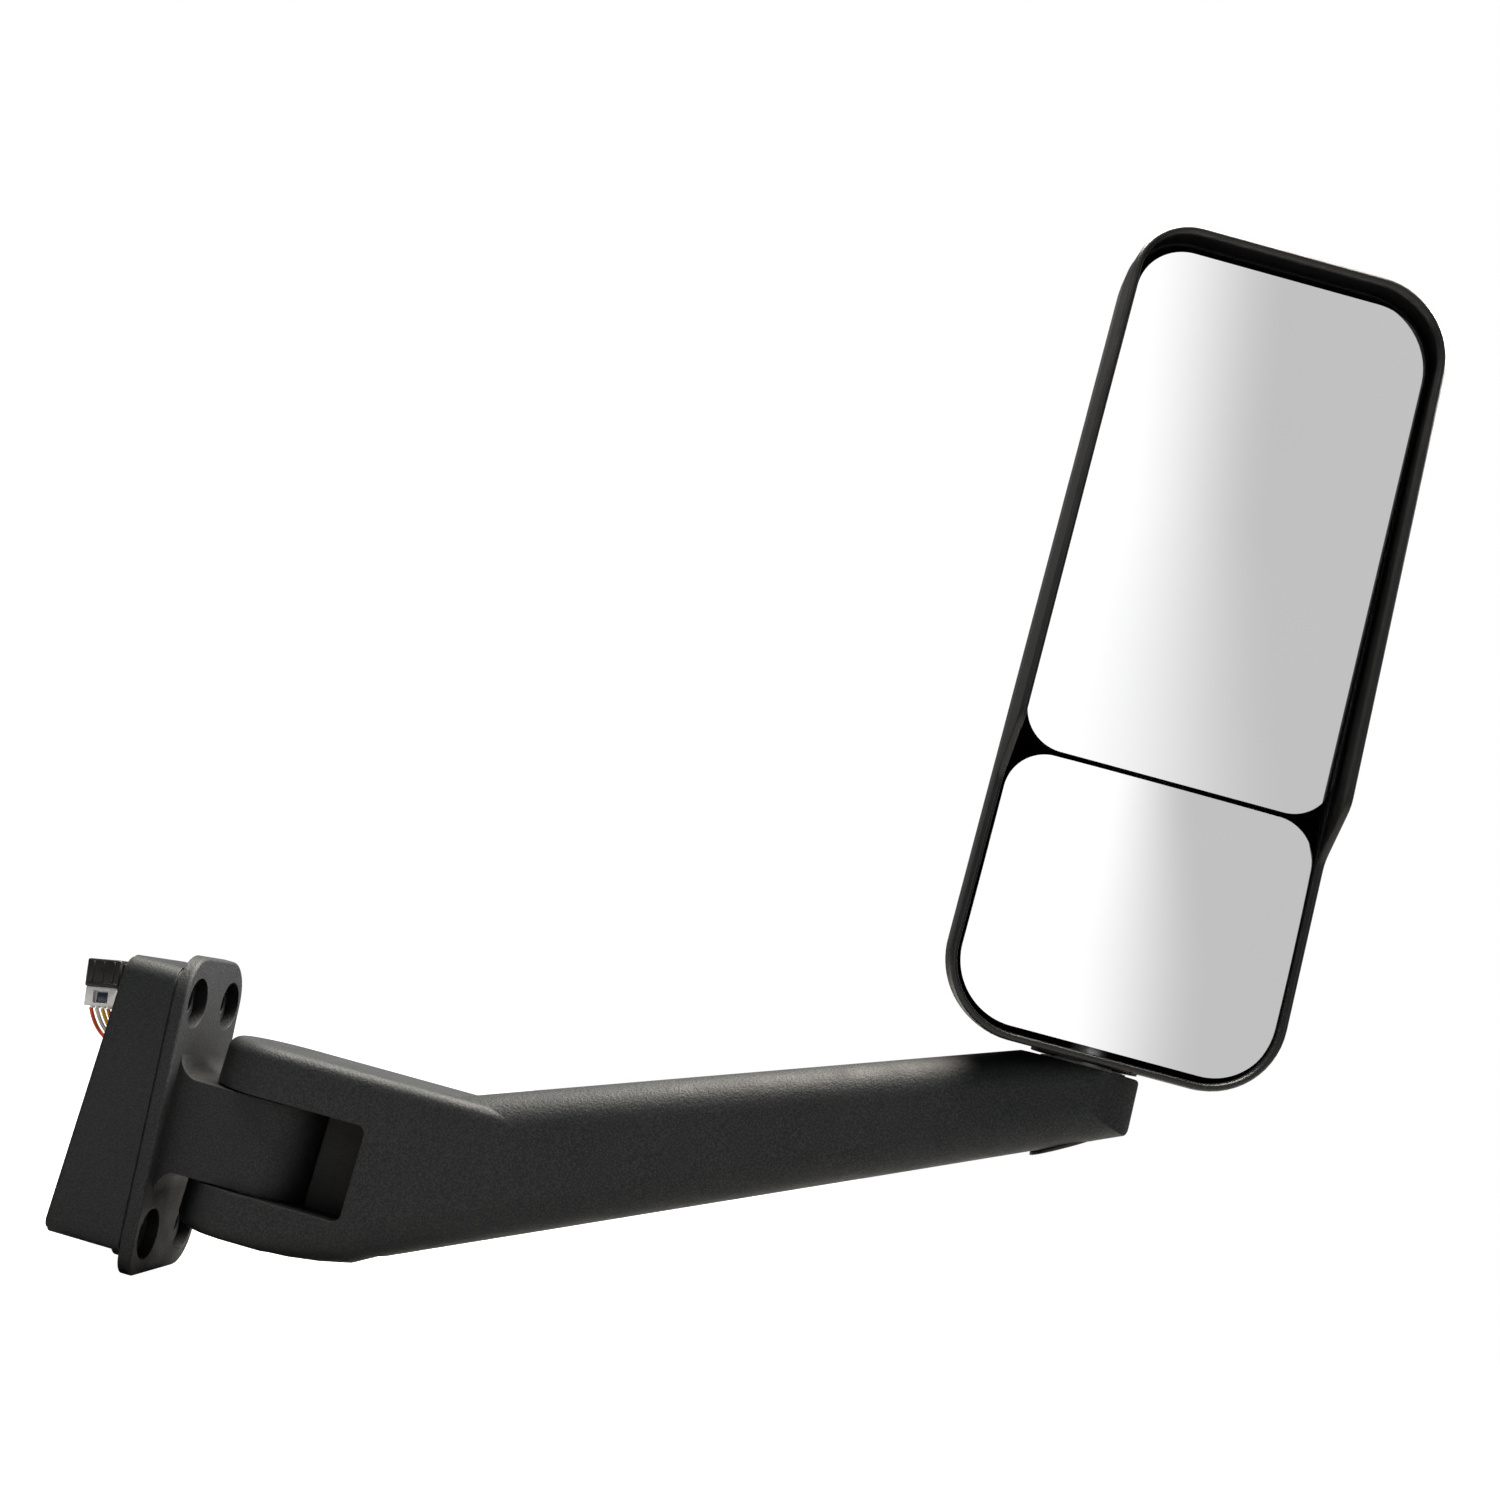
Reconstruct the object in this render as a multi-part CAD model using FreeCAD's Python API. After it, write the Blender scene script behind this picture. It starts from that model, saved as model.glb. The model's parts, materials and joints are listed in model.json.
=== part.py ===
import FreeCAD, Part
import math
import os

os.makedirs("parts", exist_ok=True)

# Right-hand towing mirror. Millimetres, X outboard from the cab wall, Y toward the front of
# the truck, Z up. The origin is on the wall, at the centre of the four mounting bolts.

# mounting base
boltSpaceY = 52.2
boltSpaceZ = 128.4
boltHoleR = 5.5
accessR = 14.0
boltSeatX = 12.0
boltWellR = 9.2
baseHalfY = 45.0
flangeLow = -86.5
flangeHigh = 90.0
flangeThick = 7.0
flangeX = 46.0
flangeLean = 0.0935
blockLow = -75.0
blockHigh = 82.0
gasketThick = 2.0
grooveDepth = 1.2
flangeFillet = 1.8
coveHeight = 14.0
blockScrewY = 27.0
blockScrewR = 3.95
blockScrewHoleR = 4.3
pocketX = 30.0
passageR = 6.0
passageZ = -2.0

# fold hinge between the base and the arm
hingeX = 96.0
tongueHalfY = 33.0
tongueLow = -28.0
tongueHigh = 23.5
slotLow = -29.0
slotHigh = 24.5
slotEndX = 157.0
webHalfY = 12.0
webGap = 1.6
clevisR = 38.0
clevisLow = -55.5
clevisHigh = 52.3
clevisFillet = 7.0
pinR = 10.0
bushR = 13.0
runFit = 0.05
pinTop = 45.0
channelZ = 38.0
nutSeatZ = -38.0
nutChamberR = 17.0

# arm tube, given by its top and bottom lines in side view
armTopZ = 62.4
armTopX = 227.0
armTopRise = 0.3557
armBottomZ = -48.7
armBottomX = 168.0
armBottomRise = 0.4463
armStartX = 142.0
heelX = 184.0
armTaperX = 275.0
armEndX = 564.0
armHalfStart = 38.0
armHalfEnd = 31.0
tubeRound = 21.0
armWall = 4.0
armDeckZ = 158.0

# swivel between the arm and the head
swivelX = 532.0
swivelChamberR = 17.5
swivelFloorZ = 140.0
postR = 10.0
collarR = 16.0
collarLowZ = 159.4
footZ = 178.0
swivelNutZ = 126.0
headTurn = 7.0

# head, in its own axes: a across, b from the front of the hood to the back, z up
leftFoot = -94.3
rightFoot = 96.0
headLow = 160.5
headHigh = 635.5
leftTaper = 0.0165
rightTaper = 0.009
rimStepZ = 300.0
swivelB = 60.0
rimDepthLow = 22.0
rimDepthTop = 8.0
jogHighZ = 330.0
partingB = 31.0
beadWidth = 4.2
beadDepth = 5.0
bezelWall = 2.4

# glasses and their pivots
upperMidZ = 472.3
upperHalfZ = 151.7
lowerMidZ = 243.65
lowerHalfZ = 75.25
glassGapLeft = 6.3
glassGapRight = 6.3
lowerGapRight = 5.2
upperGlassB = 20.0
lowerGlassB = 24.0
glassThick = 2.5
convexR = 1700.0
upperPivotB = 34.0
lowerPivotB = 41.0
spiderPinR = 1.95
plungerArm = 30.0
ballR = 4.0
stemR = 3.0
gearTeeth = 30
gearR = 13.0
gearB = 60.0

# connector and wires behind the base
wireR = 1.1
wirePitch = 3.4
terminalR = 0.95
wireWellR = 1.0
wireNames = ("red", "white", "yellow", "amber", "black")
connectorMid = (-21.0, -10.0, 60.0)
connectorTilt = -10.0


def vec(x, y, z):
    return FreeCAD.Vector(x, y, z)


def box(xLow, xHigh, yLow, yHigh, zLow, zHigh):
    return Part.makeBox(xHigh - xLow, yHigh - yLow, zHigh - zLow, vec(xLow, yLow, zLow))


def rod(radius, start, end):
    axis = vec(*end) - vec(*start)
    return Part.makeCylinder(radius, axis.Length, vec(*start), axis)


def ring(outer, inner, start, end):
    return rod(outer, start, end).cut(rod(inner, start, end))


def fuseAll(shapes):
    return shapes[0].fuse(shapes[1:]).removeSplitter() if len(shapes) > 1 else shapes[0]


def group(shapes):
    return Part.makeCompound(shapes)


def cornerArc(before, here, after, radius):
    """Points where a rounded corner starts, peaks and ends."""
    toBefore = (before - here).normalize()
    toAfter = (after - here).normalize()
    half = toBefore.getAngle(toAfter) / 2
    reach = radius / math.tan(half)
    middle = (toBefore + toAfter).normalize() * (radius / math.sin(half) - radius)
    return here + toBefore * reach, here + middle, here + toAfter * reach


def outline(points, radii):
    """Closed wire with a rounded corner of its own radius at each point."""
    count = len(points)
    corners = []
    for index in range(count):
        if radii[index] > 0:
            corners.append(cornerArc(points[index - 1], points[index], points[(index + 1) % count],
                                     radii[index]))
        else:
            corners.append((points[index],) * 3)
    edges = []
    for index in range(count):
        start = corners[index - 1][2]
        end = corners[index][0]
        if (end - start).Length > 0.001:
            edges.append(Part.LineSegment(start, end).toShape())
        if radii[index] > 0:
            edges.append(Part.Arc(*corners[index]).toShape())
    return Part.Wire(edges)


def prism(points, radii, travel):
    return Part.Face(outline(points, radii)).extrude(travel)


def rectangleYZ(x, yHalf, zLow, zHigh):
    return [vec(x, -yHalf, zLow), vec(x, yHalf, zLow), vec(x, yHalf, zHigh), vec(x, -yHalf, zHigh)]


# ---------- base ----------

def flangeSlab(front, back):
    """Slab parallel to the leaning flange face, between two depths behind that face."""
    reach = 120.0
    lean = flangeLean * reach
    points = [vec(flangeX + lean - back, -60, -reach), vec(flangeX + lean - front, -60, -reach),
              vec(flangeX - lean - front, -60, reach), vec(flangeX - lean - back, -60, reach)]
    return prism(points, [0, 0, 0, 0], vec(0, 120, 0))


def boltPlaces():
    return [(y, z) for y in (-boltSpaceY / 2, boltSpaceY / 2) for z in (-boltSpaceZ / 2, boltSpaceZ / 2)]


def blockScrewPlaces():
    return [(y, z) for y in (-blockScrewY, blockScrewY) for z in (-31.0, 37.0)]


def cove(zFlat, zWall, xEnd):
    """Concave ramp from the flange down to a face of the tongue."""
    wallX = flangeX - flangeLean * zWall
    start = vec(wallX, -tongueHalfY, zWall)
    end = vec(xEnd, -tongueHalfY, zFlat)
    corner = vec(wallX - 3, -tongueHalfY, zFlat)
    middle = (start + end) * 0.5 * 0.62 + vec(wallX, -tongueHalfY, zFlat) * 0.38
    edges = [Part.LineSegment(corner, vec(wallX - 3, -tongueHalfY, zWall)).toShape(),
             Part.LineSegment(vec(wallX - 3, -tongueHalfY, zWall), start).toShape(),
             Part.Arc(start, middle, end).toShape(),
             Part.LineSegment(end, corner).toShape()]
    return Part.Face(Part.Wire(edges)).extrude(vec(0, 2 * tongueHalfY, 0))


def makeTongue():
    body = box(42, hingeX, -tongueHalfY, tongueHalfY, tongueLow, tongueHigh)
    nose = rod(tongueHalfY, (hingeX, 0, tongueLow), (hingeX, 0, tongueHigh))
    return body.fuse(nose).removeSplitter()


def makeBaseBracket():
    plate = prism(rectangleYZ(20, baseHalfY, flangeLow, flangeHigh), [12, 22, 24, 24], vec(50, 0, 0))
    plate = plate.common(flangeSlab(0, flangeThick))
    frontEdges = [edge for edge in plate.Edges
                  if all(abs(v.X - flangeX + flangeLean * v.Z) < 0.01 for v in edge.Vertexes)]
    plate = plate.makeFillet(flangeFillet, frontEdges)
    shape = fuseAll([plate, makeTongue(), cove(tongueHigh - 0.1, tongueHigh + coveHeight, hingeX - 41),
                     cove(tongueLow + 0.1, tongueLow - coveHeight, hingeX - 39.5)])
    for y, z in boltPlaces():
        shape = shape.cut(rod(accessR, (20, y, z), (70, y, z)))
    for y, z in blockScrewPlaces():
        shape = shape.cut(rod(4, (30, y, z), (flangeX - flangeLean * z - 1.5, y, z)))
    shape = shape.cut(rod(bushR, (hingeX, 0, tongueLow - 1), (hingeX, 0, tongueHigh + 1)))
    return shape.cut(rod(passageR, (20, 0, passageZ), (hingeX - pinR, 0, passageZ)))


def makeMountingBlock():
    body = prism(rectangleYZ(gasketThick, baseHalfY, blockLow, blockHigh), [8, 8, 10, 10], vec(60, 0, 0))
    body = body.common(flangeSlab(flangeThick + grooveDepth, 80))
    core = prism(rectangleYZ(gasketThick, baseHalfY - grooveDepth, blockLow + grooveDepth,
                             blockHigh - grooveDepth),
                 [7, 7, 9, 9], vec(60, 0, 0))
    core = core.common(flangeSlab(flangeThick, 80))
    shrouds = [rod(accessR + 1, (pocketX, y, z), (70, y, z)) for y, z in boltPlaces() if z < 0]
    shroud = group(shrouds).common(flangeSlab(flangeThick, flangeThick + 8))
    shape = body.fuse(core).fuse(shroud).removeSplitter()
    shape = shape.cut(prism(rectangleYZ(0, 36, -40, 46), [6, 6, 6, 6], vec(pocketX, 0, 0)))
    for y, z in boltPlaces():
        shape = shape.cut(rod(boltWellR, (boltSeatX, y, z), (70, y, z)))
        shape = shape.cut(rod(boltHoleR, (0, y, z), (boltSeatX + 1, y, z)))
    for y, z in blockScrewPlaces():
        shape = shape.cut(rod(blockScrewHoleR, (pocketX - 1, y, z), (60, y, z)))
    shape = shape.cut(rod(1.5, (gasketThick - 1, -10, 64), (11, -10, 64)))
    return shape.cut(rod(passageR, (pocketX - 1, 0, passageZ), (60, 0, passageZ)))


def makeGasket():
    shape = prism(rectangleYZ(0, baseHalfY - 1.5, blockLow + 1.5, blockHigh - 1.5), [7, 7, 9, 9],
                  vec(gasketThick, 0, 0))
    shape = shape.cut(prism(rectangleYZ(-1, 37, -41, 47), [6, 6, 6, 6], vec(6, 0, 0)))
    for y, z in boltPlaces():
        shape = shape.cut(rod(boltHoleR, (-1, y, z), (6, y, z)))
    return shape.cut(box(-1, 6, -16, -4, 59, 69))


def makeBlockScrews():
    screws = []
    for y, z in blockScrewPlaces():
        head = rod(6.5, (pocketX - 4.5, y, z), (pocketX, y, z))
        head = head.cut(rod(2.6, (pocketX - 6, y, z), (pocketX - 2.5, y, z)))
        shank = rod(blockScrewR, (pocketX, y, z), (flangeX - flangeLean * z - 2, y, z))
        screws.append(head.fuse(shank).removeSplitter())
    return group(screws)


def makeGrommet():
    """Rubber seal round the wires where they leave the passage through the base."""
    lip = rod(12, (pocketX - 4, 0, passageZ), (pocketX, 0, passageZ))
    neck = rod(passageR, (pocketX, 0, passageZ), (pocketX + 5, 0, passageZ))
    return lip.fuse(neck).removeSplitter()


def makeBushes():
    upper = ring(bushR, pinR + runFit, (hingeX, 0, 5), (hingeX, 0, tongueHigh))
    lower = ring(bushR, pinR + runFit, (hingeX, 0, tongueLow), (hingeX, 0, -9))
    return upper, lower


def makeThrustWashers():
    upper = ring(28, pinR + 0.6, (hingeX, 0, tongueHigh), (hingeX, 0, slotHigh - 0.15))
    lower = ring(28, pinR + 0.6, (hingeX, 0, slotLow + 0.15), (hingeX, 0, tongueLow))
    return upper, lower


def makeBaseHarness():
    return rod(passageR - 1, (pocketX + 5, 0, passageZ), (hingeX - pinR - 1, 0, passageZ))


# ---------- connector ----------

def wireX(wire):
    return (wire - 2) * wirePitch


def placeConnector(shape):
    shape.rotate(vec(0, 0, 0), vec(0, 1, 0), connectorTilt)
    shape.translate(vec(*connectorMid))
    return shape


def makeConnectorHousing():
    shape = box(-10, 10, -8, 8, -2, 14)
    shape = shape.makeFillet(1.2, [edge for edge in shape.Edges if abs(edge.CenterOfMass.z - 6) < 5])
    ribs = [box(x - 0.6, x + 0.6, -8.8, -7.9, 1, 13) for x in (-6, 0, 6)]
    shape = fuseAll([shape] + ribs)
    for wire in range(5):
        shape = shape.cut(rod(wireWellR, (wireX(wire), 0, -3), (wireX(wire), 0, 10)))
    return placeConnector(shape)


def makeConnectorLock():
    shape = box(-9.2, 9.2, -7.2, 7.2, -13, -2)
    shape = shape.cut(box(-3.6, 3.6, -8, -3.4, -11, -4.5))
    for x in (-7.9, 7.9):
        shape = shape.cut(box(x - 0.7, x + 0.7, -8, -6, -14, -1))
    for wire in range(5):
        shape = shape.cut(rod(wireWellR, (wireX(wire), 0, -14), (wireX(wire), 0, -1)))
    return placeConnector(shape)


def makeTerminals():
    pins = [rod(terminalR, (wireX(wire), 0, -12.5), (wireX(wire), 0, 9)) for wire in range(5)]
    return placeConnector(group(pins))


def makeConnectorClip():
    """Bent clip that holds the connector on the back of the block."""
    foot = box(0, gasketThick, -15, -5, 60, 68)
    arm = box(-14, 0.5, -13, -7, 63, 67)
    pad = placeConnector(box(10, 11.6, -5, 5, 1, 12))
    plug = rod(1.5, (0, -10, 64), (10, -10, 64))
    return fuseAll([foot, arm, pad, plug]).cut(placeConnector(box(-10, 10, -8, 8, -14, 15)))


# ---------- wires ----------

def tubeAlong(points, radius):
    """Tube of straight runs joined by tangent arcs, with the radius of each bend."""
    edges = []
    bends = []
    last = points[0]
    length = 0.0
    for index in range(1, len(points) - 1):
        before = points[index - 1] - points[index]
        after = points[index + 1] - points[index]
        turn = math.pi - before.getAngle(after)
        bend = 0.45 * min(before.Length, after.Length) / math.tan(turn / 2)
        start, middle, end = cornerArc(points[index - 1], points[index], points[index + 1], bend)
        edges.append(Part.LineSegment(last, start).toShape())
        edges.append(Part.Arc(start, middle, end).toShape())
        length += (start - last).Length + bend * turn
        bends.append(bend)
        last = end
    edges.append(Part.LineSegment(last, points[-1]).toShape())
    length += (points[-1] - last).Length
    path = Part.Wire(edges)
    section = Part.Wire(Part.Circle(points[0], points[1] - points[0], radius).toShape())
    tube = path.makePipeShell([section], True, True)
    return tube, bends, length


wireRoutes = {
    "red": [(-26.1, -10, 44.9), (-23.5, -12.6, 36), (-14, -13.4, 27), (0, -9, 15), (26, -5.6, -3)],
    "white": [(-22.8, -10, 45.5), (-20, -11, 37), (-10.5, -11, 29), (3, -7, 17), (26, -2.8, 1)],
    "yellow": [(-19.4, -10, 46.1), (-16.5, -9.2, 38), (-7.5, -8.6, 30.5), (5, -4, 17), (26, 0, -4)],
    "amber": [(-16.1, -10, 46.7), (-13, -7.4, 39.5), (-4.5, -6.2, 32.5), (7.5, -1, 19), (26, 2.8, 1)],
    "black": [(-12.7, -10, 47.3), (-9.6, -5.6, 40.5), (-1.5, -3.8, 33), (10, 2, 20), (26, 5.6, -3)],
}


def makeWire(name):
    points = [vec(*point) for point in wireRoutes[name]]
    tube, bends, length = tubeAlong(points, wireR)
    share = tube.Volume / (math.pi * wireR ** 2 * length)
    print("wire", name, "length", round(length, 1), "bends", [round(b, 1) for b in bends],
          "volume share", round(share, 4))
    return tube


# ---------- arm ----------

def armTop(x):
    return armTopZ + (x - armTopX) * armTopRise


def armBottom(x):
    return armBottomZ + (x - armBottomX) * armBottomRise


def armHalf(x):
    return armHalfStart - (armHalfStart - armHalfEnd) * max(0.0, x - armTaperX) / (armEndX - armTaperX)


def tubeSection(x, inset, rounding):
    half = armHalf(x) - inset
    low = armBottom(x) + inset * 1.08
    high = armTop(x) - inset * 1.08
    return outline(rectangleYZ(x, half, low, high), [rounding] * 4)


def sideProfile(points, radii):
    """Solid seen from the side as the given outline, wide enough to trim the arm with."""
    return prism([vec(x, -60, z) for x, z in points], radii, vec(0, 120, 0))


def makeClevis():
    """Forked block at the hinge, its lower edges rounding more and more until they meet the tube's."""
    noseEnd = 112.0
    blockEnd = 266.0
    nose = box(hingeX, noseEnd, -clevisR, clevisR, clevisLow, clevisHigh)
    nose = nose.fuse(rod(clevisR, (hingeX, 0, clevisLow), (hingeX, 0, clevisHigh))).removeSplitter()
    rims = [edge for edge in nose.Edges if edge.CenterOfMass.x < noseEnd - 1
            and min(abs(edge.CenterOfMass.z - clevisHigh), abs(edge.CenterOfMass.z - clevisLow)) < 0.1]
    nose = nose.makeFillet(clevisFillet, rims)
    stations = []
    for x, low, rounding in ((noseEnd, clevisLow, clevisFillet), (132, clevisLow + 0.4, 12),
                             (149, clevisLow + 2, 17), (166, armBottom(166) - 0.6, 20),
                             (heelX, armBottom(heelX) + 1.0, 22), (blockEnd, armBottom(blockEnd) + 9, 26)):
        radii = [rounding, rounding, clevisFillet, clevisFillet]
        stations.append(outline(rectangleYZ(x, clevisR, low, clevisHigh), radii))
    return nose.fuse(Part.makeLoft(stations, True, True)).removeSplitter()


def makeArmOuter():
    """Clevis block running into the rising tube, ended round the swivel."""
    stations = [tubeSection(armStartX, 0, tubeRound), tubeSection(armTaperX, 0, tubeRound),
                tubeSection(armEndX + 20, 0, tubeRound)]
    tube = Part.makeLoft(stations, True, True)
    side = sideProfile([(armStartX, -42), (160, -46), (heelX, armBottom(heelX)),
                        (armEndX, armBottom(armEndX)),
                        (armEndX, armDeckZ), (armStartX, armDeckZ)], [0, 0, 0, 8, 4, 0])
    endRound = fuseAll([box(100, swivelX, -60, 60, -90, 200),
                        rod(armEndX - swivelX, (swivelX, 0, -90), (swivelX, 0, 200))])
    return makeClevis().fuse(tube.common(side).common(endRound)).removeSplitter()


def makeArmCavity():
    stations = [tubeSection(slotEndX + 12, armWall + 2, 16), tubeSection(armTaperX, armWall + 1, 16),
                tubeSection(armEndX + 20, armWall, 16)]
    hollow = Part.makeLoft(stations, True, True)
    limit = fuseAll([box(150, swivelX, -60, 60, -90, armDeckZ - armWall),
                     rod(armEndX - swivelX - armWall, (swivelX, 0, -90), (swivelX, 0, armDeckZ - armWall))])
    return hollow.common(limit)


def makeArm():
    shape = makeArmOuter().cut(makeArmCavity())
    chamber = rod(swivelChamberR + 4, (swivelX, 0, 60), (swivelX, 0, armDeckZ))
    shape = shape.fuse(chamber.common(makeArmOuter()))
    shape = shape.cut(rod(swivelChamberR, (swivelX, 0, 60), (swivelX, 0, swivelFloorZ)))
    shape = shape.cut(rod(postR + 4, (swivelX, 0, 60), (swivelX, 0, armDeckZ + 5)))
    slot = prism([vec(20, -60, slotLow), vec(slotEndX, -60, slotLow),
                  vec(slotEndX, -60, slotHigh), vec(20, -60, slotHigh)], [0, 5, 5, 0], vec(0, 120, 0))
    web = box(hingeX + 20, 260, -webHalfY, webHalfY, slotLow - 1, slotHigh + 1)
    web = web.cut(rod(tongueHalfY + webGap, (hingeX, 0, slotLow - 2), (hingeX, 0, slotHigh + 2)))
    shape = shape.cut(slot.cut(web))
    shape = shape.cut(rod(pinR, (hingeX, 0, slotLow - 40), (hingeX, 0, pinTop)))
    shape = shape.cut(rod(nutChamberR, (hingeX, 0, clevisLow - 5), (hingeX, 0, nutSeatZ)))
    return shape.cut(rod(5, (hingeX, 0, channelZ), (230, 0, channelZ))).removeSplitter()


def makeHingePin():
    shape = rod(pinR, (hingeX, 0, -52), (hingeX, 0, pinTop))
    shape = shape.cut(rod(5, (hingeX, 0, -12), (hingeX, 0, pinTop - 2)))
    shape = shape.cut(rod(5, (hingeX - 12, 0, passageZ), (hingeX, 0, passageZ)))
    return shape.cut(rod(4.9, (hingeX, 0, channelZ), (hingeX + 12, 0, channelZ)))


def hexNut(across, bore, x, y, zLow, zHigh):
    corner = across / math.sqrt(3)
    points = [vec(x + corner * math.cos(math.radians(60 * k)), y + corner * math.sin(math.radians(60 * k)),
                  zLow) for k in range(6)]
    nut = prism(points, [0] * 6, vec(0, 0, zHigh - zLow))
    return nut.cut(rod(bore, (x, y, zLow - 1), (x, y, zHigh + 1)))


def springStack(x, outer, inner, zLow, zHigh, count):
    """Disc springs in series, each a shallow cone, alternately turned over."""
    step = (zHigh - zLow) / count
    discs = []
    for k in range(count):
        low = zLow + k * step
        wide = Part.makeCone(outer, inner + 0.8, step * 0.92, vec(x, 0, low), vec(0, 0, 1))
        wide = wide.cut(Part.makeCone(outer - 2.2, inner - 1.4, step * 0.92, vec(x, 0, low), vec(0, 0, 1)))
        wide = wide.cut(rod(inner, (x, 0, low - 1), (x, 0, low + step + 1)))
        if k % 2:
            wide.rotate(vec(x, 0, low + step * 0.46), vec(1, 0, 0), 180)
        discs.append(wide)
    return group(discs)


def makeHingeCap():
    return rod(nutChamberR, (hingeX, 0, clevisLow), (hingeX, 0, clevisLow + 3)).fuse(
        ring(nutChamberR, nutChamberR - 1.6, (hingeX, 0, clevisLow + 3), (hingeX, 0, clevisLow + 4.3))
    ).removeSplitter()


def makeSwivelCover():
    """Snap-in lid under the swivel, its inboard edge standing a little proud."""
    lidTop = 2.5
    slope = (120 - 102) / (545 - 513)
    points = [vec(505, -30, 102 - 8 * slope), vec(560, -30, 102 + 47 * slope),
              vec(560, -30, 102 + 47 * slope + lidTop), vec(505, -30, 102 - 8 * slope + lidTop)]
    lid = prism(points, [0, 0, 0, 0], vec(0, 60, 0))
    lid = lid.common(rod(swivelChamberR - 0.1, (swivelX, 0, 90), (swivelX, 0, 140)))
    wall = ring(swivelChamberR - 0.1, swivelChamberR - 1.4, (swivelX, 0, 100), (swivelX, 0, 122))
    wall = wall.common(prism([vec(505, -30, 103 - 8 * slope), vec(560, -30, 103 + 47 * slope),
                              vec(560, -30, 140), vec(505, -30, 140)], [0, 0, 0, 0], vec(0, 60, 0)))
    return lid.fuse(wall).removeSplitter()


def makeArmHarness():
    points = [vec(hingeX + 13, 0, channelZ), vec(165, 0, channelZ), vec(215, 0, 35), vec(290, 0, 56),
              vec(390, 0, 92), vec(470, 0, 128), vec(504, 0, 142)]
    return tubeAlong(points, 3.5)[0]


# ---------- head ----------

def headAt(a, b, z):
    return vec(a, b - swivelB, z)


def placeHead(shape):
    shape.rotate(vec(0, 0, 0), vec(0, 0, 1), headTurn)
    shape.translate(vec(swivelX, 0, 0))
    return shape


def headBox(aLow, aHigh, bLow, bHigh, zLow, zHigh):
    return box(aLow, aHigh, bLow - swivelB, bHigh - swivelB, zLow, zHigh)


def headRod(radius, start, end):
    return rod(radius, tuple(headAt(*start)), tuple(headAt(*end)))


def leftSide(z):
    return leftFoot + (z - headLow) * leftTaper


def rightSide(z):
    return rightFoot + (z - headLow) * rightTaper


def headOutline(inset, b):
    low = headLow + inset
    high = headHigh - inset
    return [headAt(leftSide(low) + inset, b, low), headAt(rightSide(low) - inset, b, low),
            headAt(rightSide(high) - inset, b, high), headAt(leftSide(high) + inset, b, high)]


def headPrism(inset, bLow, bHigh):
    radii = [44 - inset, 44 - inset, 46 - inset, 33 - inset]
    return prism(headOutline(inset, bLow), radii, vec(0, bHigh - bLow, 0))


def behindRim(depth):
    """Everything behind the stepped front of the bezel, or a given depth behind it."""
    wide = 120.0
    points = [headAt(-wide, rimDepthLow + depth, headLow - 40), headAt(-wide, rimDepthLow + depth, rimStepZ),
              headAt(-wide, depth, jogHighZ), headAt(-wide, rimDepthTop + depth, headHigh),
              headAt(-wide, rimDepthTop + depth + 1, headHigh + 40), headAt(-wide, 140, headHigh + 40),
              headAt(-wide, 140, headLow - 40)]
    return prism(points, [0, 14, 12, 0, 0, 0, 0], vec(2 * wide, 0, 0))


def makeBezel():
    shape = headPrism(0, -6, partingB).common(behindRim(0))
    shape = shape.cut(headPrism(beadWidth, -8, partingB + 2))
    return shape.cut(headPrism(bezelWall, -8, partingB + 2).common(behindRim(beadDepth)))


def domeSections(wall):
    """Outlines of the rear dome: depth and inset of each, taken in by the wall thickness."""
    stations = [(partingB, 0.0, 1.0), (55, 2.0, 0.95), (77, 9.0, 0.6), (91, 22.0, 0.25), (98, 42.0, 0.0)]
    wires = []
    for b, inset, sideShare in stations:
        depth = b - wall * (1 - sideShare) if b > partingB else partingB
        take = inset + wall
        radii = [44 + inset * 0.12 - wall, 44 + inset * 0.12 - wall, 46 - wall, 33 + inset * 0.33 - wall]
        wires.append(outline(headOutline(take, depth), radii))
    return wires


def makeShell():
    outer = Part.makeLoft(domeSections(0.0), True, False)
    inner = Part.makeLoft(domeSections(2.8), True, False)
    lip = headPrism(bezelWall + 0.12, partingB - 3.5, partingB + 3)
    lip = lip.cut(headPrism(bezelWall + 1.8, partingB - 5, partingB + 4))
    seat = headRod(30, (0, swivelB, headLow - 0.3), (0, swivelB, headLow + 12))
    seat = seat.common(headBox(-40, 40, partingB + 3, 95, 150, 190))
    shape = outer.cut(inner).fuse([lip, seat.cut(inner)])
    bosses = [headRod(6, (a, 82, z), (a, 96.5, z)) for a, z in shellScrewPlaces()]
    shape = shape.fuse(bosses)
    for a, z in shellScrewPlaces():
        shape = shape.cut(headRod(1.95, (a, 81, z), (a, 93, z)))
    shape = shape.cut(headRod(collarR + 0.6, (0, swivelB, 150), (0, swivelB, 190)))
    return placeHead(shape.removeSplitter())


def shellScrewPlaces():
    return [(a, z) for a in (-16.0, 16.0) for z in (200.0, 330.0, 545.0)]


def actuatorScrewPlaces():
    return [(a, z) for a in (-18.0, 18.0) for z in (upperMidZ - 38, upperMidZ + 38)]


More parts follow.
